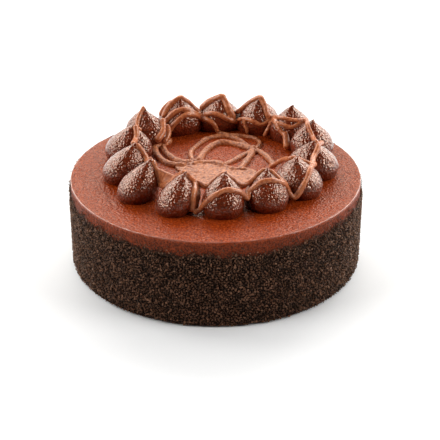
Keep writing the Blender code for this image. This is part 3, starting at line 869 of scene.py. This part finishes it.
def scattered_crumbs(tree, values, stray_cover, fade):
    """Crumbs over the belt as one mesh, pressed in where they would stand past the coat."""
    item = add_object("belt", crumb_belt(stray_cover, fade))
    scatter = item.modifiers.new("scatter", "NODES")
    scatter.node_group = tree
    for socket in tree.interface.items_tree:
        if socket.in_out == "INPUT" and socket.name in values:
            scatter[socket.identifier] = values[socket.name]
    mesh = evaluated_mesh(item)
    places = places_of(mesh)
    reach = np.hypot(places[:, 0], places[:, 1])
    places[:, :2] *= np.minimum(1.0, COAT_REACH / reach)[:, None]
    places[:, 2] = np.clip(places[:, 2], LOWEST_CRUMB, HIGHEST_CRUMB)
    move_to(mesh, places)
    return mesh


# The kisses

class Kiss:
    """One piped kiss: a fat foot drawn up and in to a peaked tip."""

    def __init__(self, bearing, reach, width, length, height, lean_in, lean_side):
        turn = math.radians(bearing)
        self.out = np.array((math.cos(turn), math.sin(turn), 0))
        self.side = np.array((-math.sin(turn), math.cos(turn), 0))
        self.foot = np.array(RING_CENTRE) + self.out * reach * MM
        self.foot[2] = CAKE_HEIGHT
        self.half_width = width * MM / 2
        self.half_length = length * MM / 2
        self.height = height * MM
        self.lean = self.side * lean_side * MM - self.out * lean_in * MM

    def axis(self, share):
        share = np.atleast_1d(share)[:, None]
        rise = np.array((0, 0, self.height))
        bend = np.maximum(share - HOOK_START, 0) / (1 - HOOK_START)
        hook = np.array((HOOK_REACH, 0, 0)) * bend**2
        return self.foot + self.lean * np.maximum(share, 0) ** KISS_LEAN_POWER + rise * share + hook

    def girth(self, turn, share):
        """How much wider than round the kiss is at turns in radians and shares of its height."""
        low = np.clip(1 - share / KISS_SPREAD_HEIGHT, 0, 1)
        inner = np.maximum(-np.cos(turn), 0)
        return 1 + KISS_EGG * np.cos(turn) + KISS_SPREAD * low * inner

    def points(self, turn, share, radius):
        """Points at turns in radians about the kiss, shares of its height and of its belly."""
        along = np.cos(turn)
        across = np.sin(turn) * self.girth(turn, share)
        spread = np.outer(along * radius, self.out * self.half_length)
        spread += np.outer(across * radius, self.side * self.half_width)
        return self.axis(share) + spread

    def over(self, turn, share, lift):
        """A point that far over the kiss's skin."""
        turn = np.radians(np.atleast_1d(turn))
        share = np.atleast_1d(share)
        skin = self.points(turn, share, profile_radius(share))[0]
        outward = skin - self.axis(KISS_CORE)[0]
        return skin + outward / np.linalg.norm(outward) * lift

    def pushed_out(self, places, lift):
        """Places under the kiss's skin, moved out to lie that far over it."""
        share = (places[:, 2] - self.foot[2]) / self.height
        flat_way = places - self.axis(share)
        along = flat_way @ self.out / self.half_length
        across = flat_way @ self.side / self.half_width
        turn = np.arctan2(across, along)
        across = across / self.girth(turn, share)
        radius = np.hypot(along, across)
        skin = profile_radius(np.clip(share, 0, 1))
        inside = (share > 0) & (share < 1) & (radius < skin)
        target = self.points(turn, share, skin)
        outward = target - self.axis(KISS_CORE)
        outward /= np.linalg.norm(outward, axis=1)[:, None]
        return np.where(inside[:, None], target + outward * lift, places)


def profile_radius(share):
    """The kiss's radius at a share of its height, as a share of its belly."""
    shares, radii = np.array(KISS_PROFILE[::-1]).T
    return np.interp(share, shares, radii)


def eased_profile(rows):
    """The kiss's profile as an even, rounded run of (radius, share) from tip to foot."""
    # the belly's half width as a share of the height, and rounds of easing
    belly = 0.6
    rounds = 4
    shares, radii = np.array(KISS_PROFILE).T
    run = np.concatenate(([0], np.cumsum(np.hypot(np.diff(radii) * belly, np.diff(shares)))))
    even = np.linspace(0, run[-1], rows)
    radius = np.interp(even, run, radii)
    share = np.interp(even, run, shares)
    for _ in range(rounds):
        radius[1:-1] = (radius[:-2] + radius[1:-1] * 2 + radius[2:]) / 4
        share[1:-1] = (share[:-2] + share[1:-1] * 2 + share[2:]) / 4
    return list(zip(radius, share))


def kiss_mesh(kiss):
    profile = eased_profile(KISS_ROWS) + [(0.0, 0.0)]
    mesh = turned_mesh(profile, KISS_STEPS)
    places = places_of(mesh)
    turn = np.arctan2(places[:, 1], places[:, 0])
    radius = np.hypot(places[:, 0], places[:, 1])
    places = kiss.points(turn, places[:, 2], radius)
    share = (places[:, 2] - CAKE_HEIGHT) / kiss.height
    store(mesh, "gloss", np.clip((share - GLOSS_START) / (GLOSS_END - GLOSS_START), 0, 1))
    # the foot is sunk a little into the icing
    places[:, 2] -= np.where(places[:, 2] < CAKE_HEIGHT + LEVEL, KISS_SINK, 0.0)
    move_to(mesh, places)
    return relieved_mesh(add_object("kiss", mesh), KISS_RELIEF)


# The drizzle

def place_of(stop, kisses, radius):
    """The point in space of a stop on a strand's way."""
    if stop[0] == "on":
        return kisses[stop[1] - 1].over(stop[2], stop[3], radius * STRAND_LIFT)
    if stop[0] == "at":
        turn = math.radians(stop[1])
        reach = stop[2] * MM
        height = CAKE_HEIGHT + stop[3] * MM
        place = (math.cos(turn) * reach, math.sin(turn) * reach, height)
        return np.array(RING_CENTRE) + np.array(place)
    return np.array((stop[1] * MM, stop[2] * MM, CAKE_HEIGHT + radius * GROUND_LIFT))


def strand_route(stops, kisses, radius):
    """Points along a strand, which follows a kiss's skin between two stops on that kiss."""
    route = [place_of(stops[0], kisses, radius)]
    for here, there in zip(stops, stops[1:]):
        start = place_of(here, kisses, radius)
        end = place_of(there, kisses, radius)
        steps = max(2, round(np.linalg.norm(end - start) / STRAND_STEP))
        same_kiss = here[0] == "on" and there[0] == "on" and here[1] == there[1]
        for step in range(1, steps + 1):
            share = step / steps
            if same_kiss:
                turn = here[2] + ((there[2] - here[2] + 180) % 360 - 180) * share
                height = here[3] + (there[3] - here[3]) * share
                route.append(place_of(on(here[1], turn, height), kisses, radius))
            else:
                route.append(start + (end - start) * share)
    route = np.array(route)
    for _ in range(STRAND_EASE):
        for _ in range(STRAND_SMOOTH):
            route[1:-1] = (route[:-2] + route[1:-1] * 2 + route[2:]) / 4
        for kiss in kisses:
            route = kiss.pushed_out(route, radius * STRAND_LIFT)
    return route


def tube_mesh(route, radius):
    """A round strand along a route, a little uneven, with rounded ends."""
    curve = bpy.data.curves.new("strand", "CURVE")
    curve.dimensions = "3D"
    curve.bevel_depth = radius
    curve.bevel_resolution = 4
    curve.use_fill_caps = True
    spline = curve.splines.new("POLY")
    spline.points.add(len(route) - 1)
    run = np.concatenate(([0], np.cumsum(np.linalg.norm(np.diff(route, axis=0), axis=1))))
    for point, place, length in zip(spline.points, route, run):
        point.co = (*place, 1.0)
        end = min(1, min(length, run[-1] - length) / radius)
        rounding = math.sqrt(max(0.0, 1 - (1 - end) ** 2)) * (1 - STRAND_END) + STRAND_END
        swell = noise.noise(Vector(place) / STRAND_SWELL_SIZE) * STRAND_SWELL
        point.radius = rounding * (1 + swell)
    return evaluated_mesh(add_object("strand", curve))


def rounded_outline(corners, steps):
    """A smooth closed curve through the corners."""
    points = []
    count = len(corners)
    for index in range(count):
        a, b, c, d = (Vector(corners[(index + shift) % count]) for shift in (-1, 0, 1, 2))
        for step in range(steps):
            t = step / steps
            blend = b * 2 + (c - a) * t + (a * 2 - b * 5 + c * 4 - d) * t**2
            points.append((blend + (b * 3 - a - c * 3 + d) * t**3) / 2)
    return points


def prism_mesh(outline, low, high):
    """A straight-sided block over a closed outline of points on the ground."""
    curve = bpy.data.curves.new("outline", "CURVE")
    curve.dimensions = "2D"
    curve.fill_mode = "BOTH"
    curve.extrude = (high - low) / 2
    spline = curve.splines.new("POLY")
    spline.use_cyclic_u = True
    spline.points.add(len(outline) - 1)
    for point, (x, y) in zip(spline.points, outline):
        point.co = (x, y, 0.0, 1.0)
    mesh = evaluated_mesh(add_object("outline", curve))
    places = places_of(mesh)
    places[:, 2] += (high + low) / 2
    move_to(mesh, places)
    return mesh


def domed(mesh, outline):
    """Raises the mesh over the outline's inside, most where it is far from the outline."""
    places = places_of(mesh)
    east, north = places[:, 0], places[:, 1]
    inside = np.zeros(len(places), dtype=bool)
    nearest = np.full(len(places), np.inf)
    for start, end in zip(outline, outline[1:] + outline[:1]):
        nearest = np.minimum(nearest, np.hypot(east - start[0], north - start[1]))
        if start[1] != end[1]:
            crossing = start[0] + (end[0] - start[0]) * (north - start[1]) / (end[1] - start[1])
            inside ^= ((start[1] > north) != (end[1] > north)) & (east < crossing)
    raised = inside & (places[:, 2] > CAKE_HEIGHT + PUDDLE_SINK)
    swell = np.array([1 + noise.noise(Vector(place) / PUDDLE_WAVE) for place in places])
    swell *= PUDDLE_DOME * (1 - np.exp(-nearest / PUDDLE_SHOULDER))
    places[:, 2] += np.where(raised, swell, 0.0)
    move_to(mesh, places)
    return mesh


def web_mesh(first, second):
    """The web of chocolate between a strand that runs down and one that runs up beside it."""
    edges = []
    for route in (first, second[::-1]):
        places = np.linspace(WEB_START, 1, WEB_ROWS) * (len(route) - 1)
        numbers = np.arange(len(route))
        edges.append(np.stack([np.interp(places, numbers, route[:, i]) for i in range(3)], axis=1))
    wide = WEB_COLUMNS + 1
    points = []
    for left, right in zip(*edges):
        points += [tuple(left + (right - left) * column / WEB_COLUMNS) for column in range(wide)]
    corners = [row * wide + column for row in range(WEB_ROWS - 1) for column in range(WEB_COLUMNS)]
    faces = [(corner, corner + 1, corner + 1 + wide, corner + wide) for corner in corners]
    mesh = bpy.data.meshes.new("web")
    mesh.from_pydata(points, [], faces)
    item = add_object("web", mesh)
    thick = item.modifiers.new("thick", "SOLIDIFY")
    thick.thickness = WEB_THICKNESS
    thick.offset = 0
    return evaluated_mesh(item)


def kept_under(mesh, top, shoulder):
    """Presses down smoothly whatever stands higher than a shoulder's depth under the top."""
    places = places_of(mesh)
    over = np.maximum(places[:, 2] - top + shoulder, 0) / shoulder
    places[:, 2] += shoulder * (np.tanh(over) - over)
    move_to(mesh, places)
    return mesh


def run_together(meshes, voxel, unevenness):
    """The meshes as one skin, with the crooks between them softened as set chocolate's are."""
    work = bmesh.new()
    for mesh in meshes:
        work.from_mesh(mesh)
    bmesh.ops.remove_doubles(work, verts=work.verts, dist=SKIN_WELD)
    joined = bpy.data.meshes.new("joined")
    work.to_mesh(joined)
    work.free()
    item = add_object("joined", joined)
    remesh = item.modifiers.new("one_skin", "REMESH")
    remesh.mode = "VOXEL"
    remesh.voxel_size = voxel
    smooth = item.modifiers.new("ease", "SMOOTH")
    smooth.factor = 0.5
    smooth.iterations = SKIN_EASE
    return relieved_mesh(item, ((SKIN_RELIEF_SIZE, unevenness),))


def strands_mesh(rows, kisses):
    """The tubes of these strands, and the way of each as points."""
    routes = [strand_route(stops, kisses, width * MM / 2) for width, stops in rows]
    tubes = [tube_mesh(route, row[0] * MM / 2) for route, row in zip(routes, rows)]
    return tubes, routes


# Light, floor and camera

def add_softbox(name, place, size, brightness):
    """A softbox as bright to the eye as this many times white paper."""
    light = bpy.data.lights.new(name, "AREA")
    light.shape = "RECTANGLE"
    light.size, light.size_y = size
    light.energy = brightness * math.pi * light.size * light.size_y
    light.color = linear(LAMP_COLOUR)[:3]
    item = add_object(name, light)
    item.location = place
    way = Vector(LIGHT_AIM) - Vector(place)
    item.rotation_euler = way.to_track_quat("-Z", "Y").to_euler()


def add_floor():
    mesh = bpy.data.meshes.new("floor")
    work = bmesh.new()
    bmesh.ops.create_circle(work, cap_ends=True, segments=96, radius=FLOOR_RADIUS)
    work.to_mesh(mesh)
    work.free()
    floor = add_object("floor", mesh)
    mesh.materials.append(floor_material())


def add_room():
    """A dark room with a bright wall far behind the cake."""
    world = bpy.data.worlds.new("studio")
    world.use_nodes = True
    tree = world.node_tree
    background = tree.nodes["Background"]
    background.inputs["Color"].default_value = linear(ROOM_COLOUR)
    way = add_node(tree, "ShaderNodeTexCoord").outputs["Generated"]
    depth = add_node(tree, "ShaderNodeSeparateXYZ", [("Vector", way)]).outputs["Y"]
    behind = add_node(tree, "ShaderNodeMath", [(0, depth), (1, 0.0)], operation="MAXIMUM")
    wall = add_node(tree, "ShaderNodeMath", [(0, behind.outputs[0]), (1, 3.0)], operation="POWER")
    strength = add_node(
        tree, "ShaderNodeMapRange",
        [("Value", wall.outputs[0]), ("To Min", ROOM_STRENGTH), ("To Max", WALL_STRENGTH)],
    )
    tree.links.new(strength.outputs["Result"], background.inputs["Strength"])
    bpy.context.scene.world = world
    bpy.context.scene.view_settings.view_transform = "Standard"


def add_camera():
    lens = bpy.data.cameras.new("camera")
    lens.sensor_width = SENSOR
    lens.lens = LENS
    lens.clip_start = 0.01
    lens.clip_end = 20
    camera = add_object("camera", lens)
    tilt = math.radians(CAMERA_TILT)
    camera.location = (AIM[0], -CAMERA_DISTANCE * math.cos(tilt), CAMERA_DISTANCE * math.sin(tilt))
    way = Vector(AIM) - camera.location
    camera.rotation_euler = way.to_track_quat("-Z", "Y").to_euler()
    bpy.context.scene.camera = camera


def make_cake():
    cream = cream_material()
    finished_piece("cream", iced_cake_mesh(), cream, ["iced_cake"])
    finished_piece("cream_rim", rim_bead_mesh(), rim_material(), ["iced_cake"])


def make_crumbs():
    finished_piece(
        "crumb_bed", crumb_bed_mesh(), crumb_bed_material(), ["crumb_coat"]
    )
    crumb = crumb_material()
    shapes = crumb_shapes()
    tree = crumb_tree()
    for name, spacing, density, small, large, least, most, palest, seed, stray, fade in CRUMB_KINDS:
        mesh = scattered_crumbs(tree, {
            "Shapes": shapes, "Spacing": spacing * MM, "Density": density, "Smallest": small,
            "Largest": large, "Least Rise": least * MM, "Most Rise": most * MM,
            "Palest": palest, "Seed": seed, "Material": crumb,
        }, stray, fade)
        finished_piece(name, mesh, crumb, ["crumb_coat"], smooth=False)
    for shape in list(shapes.objects):
        bpy.data.objects.remove(shape)
    bpy.data.collections.remove(shapes)


def make_kisses(kisses):
    ganache = ganache_material()
    for node, kiss in zip(KISS_NODES, kisses):
        finished_piece(f"{node}_ganache", kiss_mesh(kiss), ganache, [node])


def make_drizzle(kisses):
    pooled = drizzle_material(
        "grainy_milk_chocolate", ((0.36, "75371b"), (0.64, "b9734a")), 0.7 * MM, 0.42
    )
    low = CAKE_HEIGHT - PUDDLE_SINK
    outline = [point * MM for point in rounded_outline(PUDDLE, OUTLINE_STEPS)]
    puddle = prism_mesh(outline, low, low + PUDDLE_THICKNESS)
    tubes, _ = strands_mesh(GROUND_STRANDS, kisses)
    middle = domed(run_together([*tubes, puddle], MIDDLE_VOXEL, MIDDLE_RELIEF), outline)
    finished_piece("drizzle_middle", middle, pooled, ["iced_cake"])

    chocolate = drizzle_material(
        "milk_chocolate", ((0.34, "8e4526"), (0.66, "c27a50")), 0.2 * MM, 0.3
    )
    tubes, routes = strands_mesh(KISS_STRANDS, kisses)
    # the last two strands hold the web between them
    web = web_mesh(*routes[-2:])
    ring = run_together([*tubes, web], RING_VOXEL, RING_RELIEF)
    ring = kept_under(ring, CAD_BOX[1][2], RING_SHOULDER)
    finished_piece("drizzle_ring", ring, chocolate, KISS_NODES)


def main():
    kisses = [Kiss(*row) for row in KISSES]
    make_cake()
    make_crumbs()
    make_kisses(kisses)
    make_drizzle(kisses)
    add_floor()
    add_room()
    for softbox in SOFTBOXES:
        add_softbox(*softbox)
    add_camera()


main()
